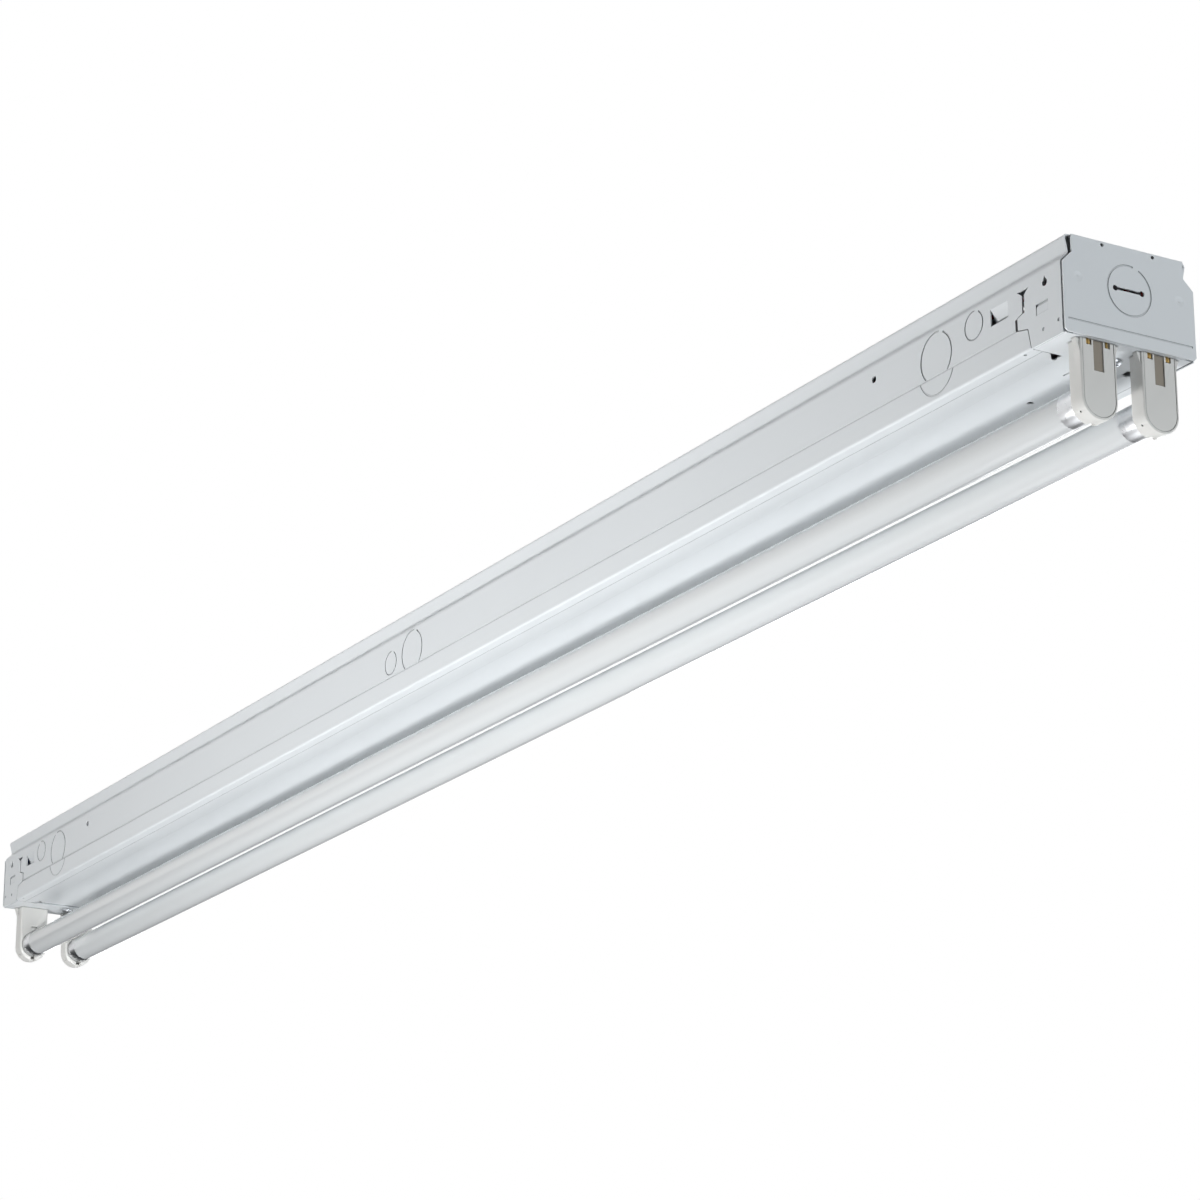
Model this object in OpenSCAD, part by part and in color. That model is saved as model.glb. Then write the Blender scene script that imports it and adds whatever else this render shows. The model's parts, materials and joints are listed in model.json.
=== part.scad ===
// Two-lamp fluorescent strip light, fixed to a ceiling or hung by its top face.
// Origin: centre of the top face. +X runs along the lamps, +Z is up, the front side is -Y.

/* [Lamps] */
// Length of a lamp between the outer faces of its two caps
lamp_l = 1149; // [849:1:1449]
// Diameter of the glass tube
lamp_d = 16; // [15.4:0.1:16.4]
// Distance between the two lamp axes
lamp_pitch = 32.5; // [31:0.1:35]
// Depth of the lamp axes below the top face
lamp_drop = 70.8; // [69:0.1:76]
// Length of a metal cap
cap_l = 8.3; // [7:0.1:12]
// Diameter of a contact pin
pin_d = 2.37; // [2.2:0.01:2.5]
// Distance between the two pins of a cap
pin_pitch = 4.75; // [4.6:0.01:4.9]
// Length of a pin outside its cap
pin_l = 7.1; // [6.7:0.1:7.4]

/* [Steel body] */
// Width over the sides
body_w = 69.8; // [69:0.1:74]
// Height of the steel body
body_h = 45.5; // [44:0.1:48]
// Sheet thickness of the channel
sheet_t = 0.7; // [0.6:0.05:0.9]
// Width over the beads along the top edges
bead_w = 65.8; // [64.5:0.1:67]
// Width over the grooves under the beads
groove_w = 62; // [61:0.1:63]
// Depth of the grooves below the top face
groove_h = 8.4; // [7.5:0.1:9.5]
// Depth at which the sides reach the full width
shoulder_h = 12.3; // [11.5:0.1:13.5]
// Depth at which the sides step in behind the cover
seam_h = 33.3; // [32:0.1:34.5]
// Width of the lips that the cover rests on
lip_w = 7; // [5:0.1:9]

/* [Cover] */
// Sheet thickness of the cover
cover_t = 0.6; // [0.5:0.05:0.8]
// Distance from the end faces to the ends of the cover
cover_from_end = 24; // [22:0.1:27]
// Half width of the raised middle panel
panel_half_w = 17.3; // [16.5:0.1:19]
// Distance from the middle to the crease in each edge of the cover
crease_y = 29; // [27:0.1:30]
// Length of the tongue that lies over the bracket
tongue_l = 9.5; // [8:0.1:10]

/* [Lampholders] */
// Width of a lampholder
holder_w = 19.4; // [18.6:0.1:20.6]
// Thickness of a lampholder along the lamp
holder_t = 11.2; // [11:0.1:13]
// Reach of a lampholder below the lamp axis
holder_foot = 13.5; // [12:0.1:16]
// Radius of the edges on the lamp side
holder_edge_r = 3.6; // [2:0.1:4.5]
// Thickness of the back cover of a lampholder
back_t = 2.3; // [1.8:0.1:2.6]
// Thickness of the wall on the lamp side
front_t = 2.2; // [1.8:0.1:2.5]
// Diameter of the rotor
rotor_d = 14; // [13:0.1:14.2]
// Width of the neck that passes through the bracket
neck_w = 15.6; // [14.6:0.1:16.4]

/* [Knockouts and holes] */
// Diameter of a conduit knockout
knockout_d = 22.2; // [20:0.1:23]
// Distance from an end face to the outer side knockouts
knockout_from_end = 92.4; // [85:0.1:110]
// Depth of the side knockouts below the top face
side_knockout_h = 25.3; // [25:0.1:27]
// Depth of the end knockouts below the top face
end_knockout_h = 20.3; // [18:0.1:22]
// Diameter of the small knockouts in the sides
small_knockout_d = 12.4; // [10:0.1:13]
// Distance between the mounting holes in the top
mount_span = 1016; // [600:1:1060]
// Diameter of the mounting holes
mount_hole_d = 7.2; // [5:0.1:9]
// Distance between the hanger holes along the top
hang_span = 1092; // [680:1:1100]
// Distance between the hanger holes across the top
hang_w = 38; // [34:0.1:44]
// Diameter of the hanger holes
hang_hole_d = 5.6; // [4:0.1:7]

/* [Ballast and leads] */
// Length of the ballast case
ballast_l = 230; // [180:1:300]
// Width of the ballast case
ballast_w = 48; // [47:0.1:52]
// Height of the ballast case
ballast_h = 28.4; // [27:0.1:32]
// Sheet thickness of the ballast case
ballast_t = 0.6; // [0.5:0.05:0.8]
// Place of the middle of the ballast along the body
ballast_x = -110; // [-160:1:0]
// Diameter of a lead
lead_d = 1.9; // [1.4:0.1:2.2]

/* [Hidden] */
$fn = 64;
bend_steps = 6;

// Clearances
cut = 1;              // overrun of every cut
slip = 0.1;           // between sheets and parts that lie on each other
play = 0.4;           // between edges that lie side by side
run_fit = 0.08;       // radial clearance of a rotor in its bore
lamp_gap = 0.3;       // between a cap and its lampholder
overlap = 4;          // shared length where two stretches of one sheet meet

// Overall places
end_x = lamp_l / 2 + lamp_gap + holder_t;
half_w = body_w / 2;
lamp_y = lamp_pitch / 2;
cap_face = lamp_l / 2;
holder_face = cap_face + lamp_gap;

// Channel
bead_r = 1.8;
groove_r = 2;
shoulder_r = 3;
joggle_r = 1.05;
joggle_h = 1;         // height of the step from the side to the tucked-in edge
lip_r = 1.2;
fold_gap = 1.1;       // open gap between the ends of the sides and the end plates
side_end = end_x - sheet_t - fold_gap;
tuck = cover_t + slip;
lip_h = body_h - cover_t - slip;

// Cover
seam_gap = 0.2;       // from the foot of the step down to the top edge of the cover
cover_top = seam_h + joggle_h + seam_gap;
cover_end = end_x - cover_from_end;
panel_r = 0.9;
panel_lift = 0.9;     // the middle panel lies higher, so that its tongue clears the bracket
hump_l = 9;           // sloping end of the top edge of each flange
hump_in = 1.9;
hump_drop = 1.7;
tongue_half_w = 15.8;
notch_l = 5.5;        // corner notches beside the tongue
notch_in = 17.5;
notch_mid = 20.1;
notch_out = 24.9;
crease_w = 0.6;
crease_depth = 0.15;
cover_hole_d = 3;
cover_hole_from_end = 77;
cover_hole_y = 4;
pry_slot_from_end = 41.5;
pry_slot_y = -3;
pry_slot_l = 4.6;
pry_slot_w = 1;
lip_hole_from_end = 31;
lip_hole_y = 32.7;
lip_hole_d = 1.6;

// End plates, folded down from the top between two relief holes
fold_w = 27;
fold_r = 1.2;
plate_drop = 0.35;
plate_inset = 1.1;
plate_foot = 0.2;     // the plate ends above the underside of the bracket
plate_corner = 1.2;
relief_d = 1.7;
relief_h = 1.95;
plate_crease_h = 39.4;
plate_crease_half_w = 33.2;
plate_crease_w = 0.9;
plate_crease_depth = 0.35;
dimple_y = 27.1;
dimple_h = 19.3;
dimple_r = 9;
dimple_depth = 0.35;
pry_half_l = 7.1;
pry_y = -0.3;
pry_w = 1.3;
pry_end_d = 2.6;

// Knockouts
knock_w = 0.9;        // width of the line round a knockout
knock_depth = 0.4;
knock_tie_w = 3;
knock_tie_turn = 20;  // angle of the tie from the top
small_knock_w = 0.7;
small_knock_from_end = 64;
small_knock_h = 20.5;
middle_small_x = -25;
middle_small_h = 25.8;
cover_knock_r = 12.7;
cover_knock_h = 29.8;
cover_knock_depth = 0.25;
top_knockouts = [70, 300, -370];
cover_knock_x = end_x - knockout_from_end;

// Openings in the sides near the ends
tab_from_end = 45.4;
tab_w = 12.8;
tab_top = 17.6;
tab_bottom = 25.5;
tab_in = 4.2;
tab_r = 1;
side_hole_from_end = 140.4;
side_hole_h = 19.5;
side_hole_d = 3.2;
slit_w = 1.6;
slit_from_end = 28.4;
slit_low_from_end = 33.6;
slit_head_h = 17;
slit_head_half_w = 4;
slit_neck_h = 19.3;
slit_turn_h = 27.3;
slit_low_h = 28.8;
drop_from_end = 13;   // drop-shaped hole
drop_h = 18.9;
drop_d = 3.4;
drop_tip_h = 15.7;
louver_from_end = 15.4;
louver_l = 8.5;
louver_h = 27.5;
louver_w = 1.3;
louver_panel_h = 4.5;
louver_panel_depth = 0.25;
mark_d = 1.7;
mark_depth = 0.4;
mark_places = [[15, 39.6], [4.3, 38.9]];

// Brackets that carry the lampholders
bracket_t = 0.8;
bracket_r = 1.3;
bracket_ear_h = 25;   // depth of the tops of the ears below the top face
bracket_lip_h = 33;
bracket_lip_half_w = 30;
bracket_start = cover_end + lamp_gap;
bracket_end = end_x - sheet_t - slip;
bracket_top = body_h - bracket_t;

// Screws
screw_d = 3;
screw_hole_d = 3.4;
screw_head_d = 6.6;
screw_head_h = 2.2;
screw_l = 5;
screw_slot_w = 0.9;
screw_slot_l = 3.6;
screw_slot_depth = 1.1;
cover_screw_from_end = 17.5;
cover_screw_y = 4;

// Lampholders; local x = 0 is the face on the lamp side, local z = 0 the lamp axis
holder_wall = 1.6;
holder_body_t = holder_t - back_t - slip;
holder_r = holder_w / 2;
holder_top = lamp_drop - body_h - slip;
holder_low = holder_r - holder_foot;
neck_wall = 1.4;
neck_front = 0.5;
neck_rise = 9.6;      // height of the neck above the underside of the bracket
lug_h = 2.4;
lug_w = 0.8;
lug_flat = 0.4;
entry_w = 3.2;        // slot through which the pins enter from below
entry_depth = pin_l + play;
bore_r = rotor_d / 2 + run_fit;
recess_w = 5.3;
recess_depth = 1.2;
recess_foot = 10.6;
window_w = 2.4;
window_h = 4;
window_y = 4.9;
back_edge_r = 0.5;

// Rotors
rotor_inset = 0.2;
rotor_t = 5;
rotor_rim = 0.7;       // the flange stands this much proud of the rotor
rotor_slot_play = 0.5;
rotor_flange_d = rotor_d + 2 * rotor_rim;
rotor_slot_w = pin_d + rotor_slot_play;

// Contacts
leaf_t = 0.35;
leaf_w = 3.1;
leaf_gap = 0.09;      // between a pin and the leaf at rest
leaf_foot = 3.4;
leaf_turn_h = 9;
leaf_turn_rise = 3.5;
leaf_r = 1;
leaf_top_drop = 2;

// Lamp parts
glass_t = 0.8;
neck_d = 14.6;
cap_wall = 0.4;
cap_edge_r = 0.7;
cap_hole_d = 11;
disc_t = 1.4;
disc_proud = 0.15;
pin_root = 2.2;
pin_tip_r = 0.5;

// Ballast and leads
ballast_top = sheet_t + slip;
base_flange = 6;
base_tab_l = 14;
base_tab_w = 20;
base_r = 1;
lead_h = 12;          // depth of the lamp leads below the top face
lead_bend_r = 5;
lead_hole_d = lead_d + play;
lead_x = holder_face + (holder_body_t + entry_depth - leaf_w) / 2;
supply_y = 3;
supply_h = 20;
supply_run = 75;
supply_rise = 8;
supply_bend_r = 6;
ground_from_ballast = 45;
ground_ring_d = 8;
ground_ring_t = 0.8;
ground_run = 48;
ground_barrel_l = 6;
ground_barrel_d = 3.2;

// A path of [across, up, corner radius] becomes a bent sheet with round corners
function heading(p, q) = atan2(q[1] - p[1], q[0] - p[0]);
function turn(a, b) = let (d = b - a) d > 180 ? d - 360 : d < -180 ? d + 360 : d;
function left_of(a) = [-sin(a), cos(a)];
function corner(p, q, s) =
    let (a = heading(p, q), w = turn(a, heading(q, s)), side = sign(w), r = q[2],
         c = [q[0], q[1]] - r * tan(abs(w) / 2) * [cos(a), sin(a)] + side * r * left_of(a))
    [for (k = [0:bend_steps]) let (n = left_of(a + w * k / bend_steps)) [c - side * r * n, n]];
function bent(path) = let (e = len(path) - 1) [
    [[path[0][0], path[0][1]], left_of(heading(path[0], path[1]))],
    for (i = [1:e - 1]) each corner(path[i - 1], path[i], path[i + 1]),
    [[path[e][0], path[e][1]], left_of(heading(path[e - 1], path[e]))]
];
function sheet(path, t) =
    let (b = bent(path), e = len(b) - 1)
    concat([for (m = b) m[0]], [for (i = [e:-1:0]) b[i][0] + t * b[i][1]]);
function both_sides(half) =
    concat(half, [for (i = [len(half) - 1:-1:0]) [-half[i][0], half[i][1], half[i][2]]]);

upper_path = both_sides([
    [-half_w, -seam_h, 0],
    [-half_w, -shoulder_h, shoulder_r],
    [-groove_w / 2, -groove_h, groove_r],
    [-bead_w / 2, 0, bead_r]
]);
skirt_path = [
    [tuck + lip_w - half_w, -lip_h, 0],
    [tuck - half_w, -lip_h, lip_r],
    [tuck - half_w, -seam_h - joggle_h, joggle_r],
    [-half_w, -seam_h, joggle_r],
    [-half_w, overlap - seam_h, 0]
];
tab_path = [
    [-half_w, overlap - tab_top, 0],
    [-half_w, -tab_top, tab_r],
    [tab_in - half_w, -tab_bottom, 0]
];
cover_path = both_sides([
    [-half_w, -cover_top, 0],
    [-half_w, -body_h, lip_r],
    [-panel_half_w - panel_lift, -body_h, panel_r],
    [-panel_half_w, panel_lift - body_h, panel_r]
]);
bracket_half_w = half_w - sheet_t - slip;
bracket_path = both_sides([
    [-bracket_half_w, -bracket_ear_h, 0],
    [-bracket_half_w, -body_h, bracket_r]
]);
bracket_lip_path = [
    [bracket_start, -body_h, 0],
    [bracket_end, -body_h, bracket_r],
    [bracket_end, -bracket_lip_h, 0]
];
fold_path = [
    [side_end - overlap, 0, 0],
    [end_x, 0, fold_r],
    [end_x, -overlap, 0]
];

module ends() for (m = [0, 1]) mirror([m, 0, 0]) children();
module sides() for (m = [0, 1]) mirror([0, m, 0]) children();
module along_x(x0, x1) translate([x0, 0, 0]) rotate([90, 0, 90]) linear_extrude(x1 - x0) children();
module along_y(y0, y1) translate([0, y1, 0]) rotate([90, 0, 0]) linear_extrude(y1 - y0) children();
module block(x0, x1, y0, y1, z0, z1) translate([x0, y0, z0]) cube([x1 - x0, y1 - y0, z1 - z0]);

// Line pressed round a knockout in a plane sheet, with one tie left; depth counts from z = 0 down
module knock_line(r, w, depth) difference() {
    translate([0, 0, -depth]) cylinder(h = depth + cut, r = r + w);
    translate([0, 0, -depth - cut]) cylinder(h = depth + 3 * cut, r = r);
    rotate([0, 0, -knock_tie_turn])
        block(-knock_tie_w / 2, knock_tie_w / 2, 0, r + w + cut, -depth - cut, 2 * cut);
}
// Places a flat tool on the outside of the front side, its own y pointing up
module on_side(x, h) translate([x, -half_w, -h]) rotate([90, 0, 0]) children();
// Places a flat tool on the outer face of the right end plate, its own y pointing up
module on_end(y, h) translate([end_x, y, -h]) rotate([90, 0, 90]) children();

module leg() along_y(-half_w, sheet_t - half_w) polygon([
    [cover_end - hump_l, overlap - seam_h],
    [cover_end - hump_l, play - cover_top],
    [cover_end - hump_in + play, play - cover_top - hump_drop],
    [cover_end + play, -body_h],
    [side_end, -body_h],
    [side_end, overlap - seam_h]
]);

module end_plate() difference() {
    union() {
        along_x(end_x - sheet_t, end_x) polygon([
            for (s = [-1, 1]) each let (p = [
                [groove_w / 2 - plate_inset, -plate_drop],
                [groove_w / 2 - plate_inset, -groove_h],
                [half_w, -groove_h - half_w + groove_w / 2 - plate_inset],
                [half_w, plate_foot + plate_corner - body_h],
                [half_w - plate_corner, plate_foot - body_h]
            ]) [for (i = [0:len(p) - 1]) let (q = p[s > 0 ? i : len(p) - 1 - i]) [s * q[0], q[1]]]
        ]);
        along_y(-fold_w / 2, fold_w / 2) polygon(sheet(fold_path, -sheet_t));
    }
    sides() on_end(fold_w / 2, relief_h) translate([0, 0, -sheet_t - cut])
        cylinder(h = sheet_t + 2 * cut, d = relief_d);
    on_end(0, end_knockout_h) knock_line(knockout_d / 2, knock_w, knock_depth);
    on_end(pry_y, end_knockout_h) {
        block(-pry_half_l, pry_half_l, -pry_w / 2, pry_w / 2, -sheet_t - cut, cut);
        for (s = [-1, 1]) translate([s * pry_half_l, 0, -sheet_t - cut])
            cylinder(h = sheet_t + 2 * cut, d = pry_end_d);
    }
    sides() on_end(dimple_y, dimple_h) translate([0, 0, dimple_r - dimple_depth])
        sphere(dimple_r);
    on_end(0, plate_crease_h) block(-plate_crease_half_w, plate_crease_half_w,
        -plate_crease_w / 2, plate_crease_w / 2, -plate_crease_depth, cut);
}

module slit() along_y(-half_w - cut, sheet_t + cut - half_w) polygon([
    [end_x - slit_from_end - slit_head_half_w, -slit_head_h],
    [end_x - slit_from_end + slit_head_half_w, -slit_head_h],
    [end_x - slit_from_end + slit_w / 2, -slit_neck_h],
    [end_x - slit_from_end + slit_w / 2, -slit_turn_h],
    [end_x - slit_low_from_end + slit_w / 2, -slit_low_h],
    [end_x - slit_low_from_end + slit_w / 2, -seam_h - joggle_h],
    [end_x - slit_low_from_end - slit_w / 2, -seam_h - joggle_h],
    [end_x - slit_low_from_end - slit_w / 2, -slit_low_h],
    [end_x - slit_from_end - slit_w / 2, -slit_turn_h],
    [end_x - slit_from_end - slit_w / 2, -slit_neck_h]
]);

module side_openings() {
    on_side(end_x - knockout_from_end, side_knockout_h)
        knock_line(knockout_d / 2, knock_w, knock_depth);
    on_side(end_x - small_knock_from_end, small_knock_h)
        knock_line(small_knockout_d / 2, small_knock_w, knock_depth);
    on_side(end_x - side_hole_from_end, side_hole_h) translate([0, 0, -sheet_t - cut])
        cylinder(h = sheet_t + 2 * cut, d = side_hole_d);
    block(end_x - tab_from_end - tab_w / 2, end_x - tab_from_end + tab_w / 2,
        -half_w - cut, sheet_t + cut - half_w, -tab_bottom, -tab_top);
    slit();
    on_side(end_x - drop_from_end, drop_h) translate([0, 0, -sheet_t - cut]) {
        cylinder(h = sheet_t + 2 * cut, d = drop_d);
        linear_extrude(sheet_t + 2 * cut)
            polygon([[-drop_d / 2, 0], [drop_d / 2, 0], [0, drop_h - drop_tip_h]]);
    }
    on_side(end_x - louver_from_end, louver_h) {
        block(-louver_l / 2, louver_l / 2, -louver_w / 2, louver_w / 2, -sheet_t - cut, cut);
        block(-louver_l / 2, louver_l / 2, -louver_panel_h, 0, -louver_panel_depth, cut);
    }
    for (p = mark_places) on_side(end_x - p[0], p[1]) translate([0, 0, -mark_depth])
        cylinder(h = mark_depth + cut, d = mark_d);
}

module top_hole(x, y, d) translate([x, y, -sheet_t - cut]) cylinder(h = sheet_t + 2 * cut, d = d);

module channel() color("whitesmoke") {
    difference() {
        union() {
            along_x(-side_end, side_end) polygon(sheet(upper_path, -sheet_t));
            sides() along_x(slit_low_from_end - end_x, end_x - slit_low_from_end)
                polygon(sheet(skirt_path, -sheet_t));
            ends() sides() leg();
            ends() end_plate();
        }
        ends() sides() side_openings();
        sides() {
            on_side(0, side_knockout_h) knock_line(knockout_d / 2, knock_w, knock_depth);
            on_side(middle_small_x, middle_small_h)
                knock_line(small_knockout_d / 2, small_knock_w, knock_depth);
        }
        ends() {
            top_hole(mount_span / 2, 0, mount_hole_d);
            sides() top_hole(hang_span / 2, hang_w / 2, hang_hole_d);
        }
        for (x = top_knockouts) translate([x, 0, 0])
            knock_line(knockout_d / 2, knock_w, knock_depth);
        for (s = [-1, 1]) top_hole(ballast_x + s * (ballast_l + base_tab_l) / 2, 0, screw_hole_d);
        top_hole(ballast_x + ballast_l / 2 + ground_from_ballast, 0, screw_hole_d);
    }
    ends() sides() along_x(end_x - tab_from_end - tab_w / 2 + slip,
        end_x - tab_from_end + tab_w / 2 - slip) polygon(sheet(tab_path, sheet_t));
}

module cover() color("white") difference() {
    union() {
        along_x(-cover_end, cover_end) polygon(sheet(cover_path, cover_t));
        ends() block(cover_end - overlap, cover_end + tongue_l, -tongue_half_w, tongue_half_w,
            panel_lift - body_h, panel_lift + cover_t - body_h);
    }
    ends() sides() {
        along_y(-half_w - cut, cover_t + slip - half_w) polygon([
            [cover_end - hump_l, cut - cover_top],
            [cover_end - hump_l, -cover_top],
            [cover_end - hump_in, -cover_top - hump_drop],
            [cover_end, -body_h],
            [cover_end + cut, -body_h],
            [cover_end + cut, cut - cover_top]
        ]);
        translate([0, 0, -body_h - cut]) linear_extrude(panel_lift + cover_t + 2 * cut) polygon([
            [cover_end + cut, -notch_in],
            [cover_end - notch_l, -notch_in],
            [cover_end - notch_l, -notch_mid],
            [cover_end, -notch_out],
            [cover_end + cut, -notch_out]
        ]);
        on_side(cover_knock_x, cover_knock_h)
            knock_line(cover_knock_r, knock_w, cover_knock_depth);
        block(-cover_end - cut, cover_end + cut, -crease_y - crease_w / 2,
            crease_w / 2 - crease_y, -body_h - cut, crease_depth - body_h);
        translate([end_x - lip_hole_from_end, -lip_hole_y, -body_h - cut])
            cylinder(h = cover_t + 2 * cut, d = lip_hole_d);
    }
    ends() translate([end_x - cover_screw_from_end, cover_screw_y, -body_h - cut])
        cylinder(h = panel_lift + cover_t + 2 * cut, d = screw_hole_d);
    translate([end_x - cover_hole_from_end, cover_hole_y, -body_h - cut])
        cylinder(h = panel_lift + cover_t + 2 * cut, d = cover_hole_d);
    translate([end_x - pry_slot_from_end, pry_slot_y, -body_h - cut])
        block(-pry_slot_l / 2, pry_slot_l / 2, -pry_slot_w / 2, pry_slot_w / 2,
            0, panel_lift + cover_t + 2 * cut);
}

module bracket() color("gainsboro") difference() {
    union() {
        along_x(bracket_start, bracket_end - bracket_t) polygon(sheet(bracket_path, bracket_t));
        along_y(-bracket_lip_half_w, bracket_lip_half_w)
            polygon(sheet(bracket_lip_path, bracket_t));
    }
    for (s = [-1, 1]) block(holder_face + neck_front - slip,
        holder_face + holder_body_t + slip, s * lamp_y - neck_w / 2 - slip,
        s * lamp_y + neck_w / 2 + slip, -body_h - cut, cut - bracket_top);
    translate([end_x - cover_screw_from_end, cover_screw_y, -body_h - cut])
        cylinder(h = bracket_t + 2 * cut, d = screw_hole_d);
}

// Carries local lampholder space to one of its four places
module at_holder(left, y) mirror([left, 0, 0]) translate([holder_face, y, -lamp_drop]) children();
// Cylinder about local x, from x0 to x1
module rod_x(x0, x1, r) translate([x0, 0, 0]) rotate([0, 90, 0]) cylinder(h = x1 - x0, r = r);

// Half section of the shell, as [out from the axis, along the lamp]
module shell_half(edge, depth) {
    translate([0, edge]) square([holder_r, depth - edge]);
    square([holder_r - edge, depth]);
    translate([holder_r - edge, edge]) circle(edge);
}
module shell(edge, depth) {
    translate([0, 0, holder_low]) {
        rotate([0, 90, 0]) rotate_extrude() shell_half(edge, depth);
        linear_extrude(holder_top - holder_low) {
            translate([edge, -holder_r]) square([depth - edge, holder_w]);
            translate([0, edge - holder_r]) square([depth, holder_w - 2 * edge]);
            for (s = [-1, 1]) translate([edge, s * (holder_r - edge)]) circle(edge);
        }
    }
}

module holder() color("ivory") difference() {
    union() {
        shell(holder_edge_r, holder_body_t);
        block(neck_front, holder_body_t, -neck_w / 2, neck_w / 2,
            holder_top - holder_wall, holder_top + neck_rise);
        sides() along_x(neck_front + neck_wall, holder_body_t - neck_wall) polygon([
            [neck_wall - neck_w / 2, holder_top + bracket_t + 2 * slip],
            [-neck_w / 2 - lug_w, holder_top + bracket_t + 2 * slip],
            [-neck_w / 2 - lug_w, holder_top + bracket_t + 2 * slip + lug_flat],
            [neck_wall - neck_w / 2, holder_top + bracket_t + 2 * slip + lug_h]
        ]);
    }
    block(front_t, holder_body_t + cut, holder_wall - holder_r, holder_r - holder_wall,
        holder_low, holder_top - holder_wall);
    translate([0, 0, holder_low])
        rod_x(front_t, holder_body_t + cut, holder_r - holder_wall);
    block(front_t, holder_body_t + cut, neck_wall - neck_w / 2, neck_w / 2 - neck_wall,
        holder_low, holder_top + neck_rise + cut);
    rod_x(-cut, front_t + cut, bore_r);
    block(-cut, entry_depth, -entry_w / 2, entry_w / 2, -holder_foot - cut, 0);
}

module holder_back() color("gainsboro") difference() {
    translate([holder_t, 0, 0]) mirror([1, 0, 0]) shell(back_edge_r, back_t);
    block(holder_t - recess_depth, holder_t + cut, -recess_w / 2, recess_w / 2,
        recess_foot, holder_top + cut);
    sides() block(holder_t - back_t - cut, holder_t + cut, window_y - window_w / 2,
        window_y + window_w / 2, holder_top - window_h, holder_top + cut);
}

module rotor() color("white") difference() {
    union() {
        rod_x(rotor_inset, rotor_inset + rotor_t, rotor_d / 2);
        rod_x(front_t + slip, rotor_inset + rotor_t, rotor_flange_d / 2);
    }
    block(rotor_inset - cut, rotor_inset + rotor_t + cut, -rotor_flange_d,
        (pin_pitch + rotor_slot_w) / 2, -rotor_slot_w / 2, rotor_slot_w / 2);
}

leaf_y = (pin_pitch + pin_d) / 2 + leaf_gap;
leaf_path = [
    [leaf_y, -leaf_foot, 0],
    [leaf_y, leaf_turn_h, leaf_r],
    [window_y - leaf_t / 2, leaf_turn_h + leaf_turn_rise, leaf_r],
    [window_y - leaf_t / 2, holder_top + neck_rise - leaf_top_drop, 0]
];
module contacts() color("goldenrod") sides()
    along_x(holder_body_t - leaf_w, holder_body_t - slip) polygon(sheet(leaf_path, -leaf_t));

module at_lamp(y) translate([0, y, -lamp_drop]) children();

module lamp_tube() color("white") difference() {
    union() {
        rod_x(cap_l - cap_face, cap_face - cap_l, lamp_d / 2);
        rod_x(cap_l / 2 - cap_face, cap_face - cap_l / 2, neck_d / 2);
    }
    rod_x(-cap_face, cap_face, neck_d / 2 - glass_t);
}

module lamp_caps() color("silver") ends() translate([cap_face, 0, 0]) rotate([0, -90, 0])
    rotate_extrude() difference() {
        union() {
            translate([0, cap_edge_r]) square([lamp_d / 2, cap_l - cap_edge_r - slip]);
            square([lamp_d / 2 - cap_edge_r, cap_edge_r]);
            translate([lamp_d / 2 - cap_edge_r, cap_edge_r]) circle(cap_edge_r);
        }
        translate([0, cap_wall + disc_t]) square([lamp_d / 2 - cap_wall, cap_l]);
        translate([0, -cut]) square([cap_hole_d / 2, cap_l]);
    }

module cap_discs() color("tan") ends() difference() {
    rod_x(cap_face - disc_t - cap_wall, cap_face + disc_proud, cap_hole_d / 2 - slip);
    sides() translate([0, pin_pitch / 2, 0])
        rod_x(cap_face - disc_t - cap_wall - cut, cap_face + disc_proud + cut, pin_d / 2 + slip);
}

module lamp_pins() color("khaki") ends() sides()
    translate([cap_face - pin_root, pin_pitch / 2, 0]) rotate([0, 90, 0]) rotate_extrude() {
        square([pin_d / 2, pin_root + pin_l - pin_tip_r]);
        square([pin_d / 2 - pin_tip_r, pin_root + pin_l]);
        translate([pin_d / 2 - pin_tip_r, pin_root + pin_l - pin_tip_r]) circle(pin_tip_r);
    }

// Screw with its head below the origin and its shank upwards
module screw(length) difference() {
    union() {
        cylinder(h = length, d = screw_d);
        rotate([180, 0, 0]) rotate_extrude() intersection() {
            translate([0, -screw_head_d]) square([screw_head_d / 2, screw_head_d + screw_head_h]);
            translate([0, screw_head_h - screw_head_d]) circle(screw_head_d);
            square([screw_head_d / 2, screw_head_h]);
        }
    }
    for (a = [0, 90]) rotate([0, 0, a]) block(-screw_slot_l / 2, screw_slot_l / 2,
        -screw_slot_w / 2, screw_slot_w / 2, -screw_head_h - cut, screw_slot_depth - screw_head_h);
}

module cover_screws() color("silver") ends()
    translate([end_x - cover_screw_from_end, cover_screw_y, -body_h - slip]) screw(screw_l);

ballast_low = ballast_top + ballast_h;
base_half_w = ballast_w / 2 - ballast_t - slip;
base_path = both_sides([
    [-base_half_w, -ballast_top - base_flange, 0],
    [-base_half_w, -ballast_top, base_r]
]);
module ballast_base() color("lightgray") difference() {
    union() {
        along_x(ballast_x - ballast_l / 2 + ballast_t + slip,
            ballast_x + ballast_l / 2 - ballast_t - slip) polygon(sheet(base_path, -ballast_t));
        block(ballast_x - ballast_l / 2 - base_tab_l, ballast_x + ballast_l / 2 + base_tab_l,
            -base_tab_w / 2, base_tab_w / 2, -ballast_top - ballast_t, -ballast_top);
    }
    for (s = [-1, 1])
        translate([ballast_x + s * (ballast_l + base_tab_l) / 2, 0, -ballast_top - ballast_t - cut])
            cylinder(h = ballast_t + 2 * cut, d = screw_hole_d);
}

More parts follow.
